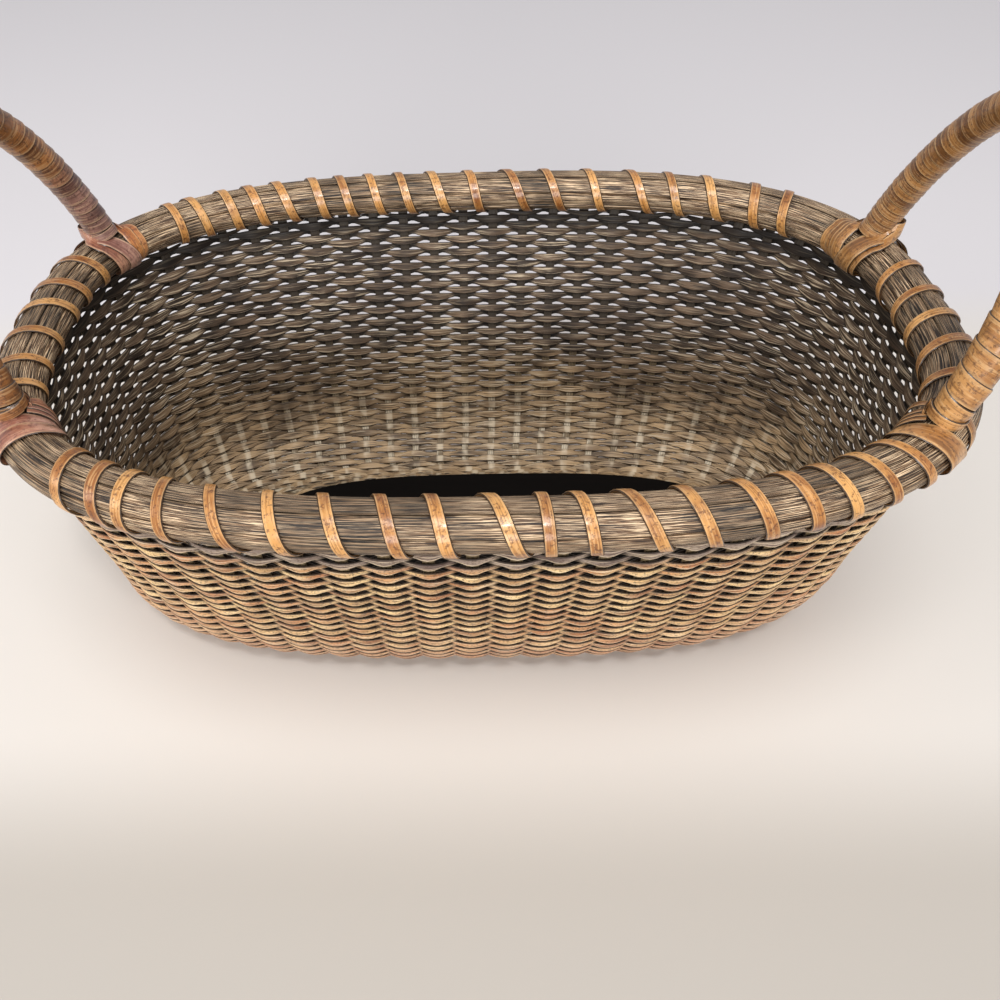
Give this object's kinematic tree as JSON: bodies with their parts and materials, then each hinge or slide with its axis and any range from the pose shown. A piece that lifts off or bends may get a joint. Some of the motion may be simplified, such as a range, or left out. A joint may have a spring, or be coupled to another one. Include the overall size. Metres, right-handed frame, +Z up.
{
  "type": "nantucket basket",
  "caption": "Oval woven cane basket with a wooden base board, a lashed splint rim and two arched, cane-wound end handles that lean outwards.",
  "frame": {"origin": "under the middle of the basket, at the level of the base board's underside", "axes": "+X along the basket towards the right handle, +Y towards its back, +Z up"},
  "size_m": [0.2736, 0.1736, 0.1656],
  "materials": {
    "board": "dark stained, satin",
    "stave": "natural",
    "cane_outside": "natural, satin",
    "cane_inside": "darkened, satin",
    "rim_splint": "weathered, satin",
    "lashing_cane": "satin",
    "handle_rod": "natural",
    "handle_cane_left": "satin",
    "handle_cane_right": "satin"
  },
  "bodies": {
    "root": {"base_board": "board", "staves": "stave", "weave_outer_face": "cane_outside", "weave_inner_face": "cane_inside", "rim_hoop_inner": "rim_splint", "rim_hoop_outer": "rim_splint", "rim_top_splint": "rim_splint", "rim_lashing_back": "lashing_cane", "rim_lashing_front": "lashing_cane", "rim_lashing_left": "lashing_cane", "rim_lashing_right": "lashing_cane", "handle_core_left": "handle_rod", "handle_core_right": "handle_rod", "handle_wrap_left": "handle_cane_left", "handle_wrap_right": "handle_cane_right", "foot_band_left_back_inner": "lashing_cane", "foot_band_left_back_outer": "lashing_cane", "foot_band_left_front_inner": "lashing_cane", "foot_band_left_front_outer": "lashing_cane", "foot_band_right_back_inner": "lashing_cane", "foot_band_right_back_outer": "lashing_cane", "foot_band_right_front_inner": "lashing_cane", "foot_band_right_front_outer": "lashing_cane"}
  },
  "joints": []
}
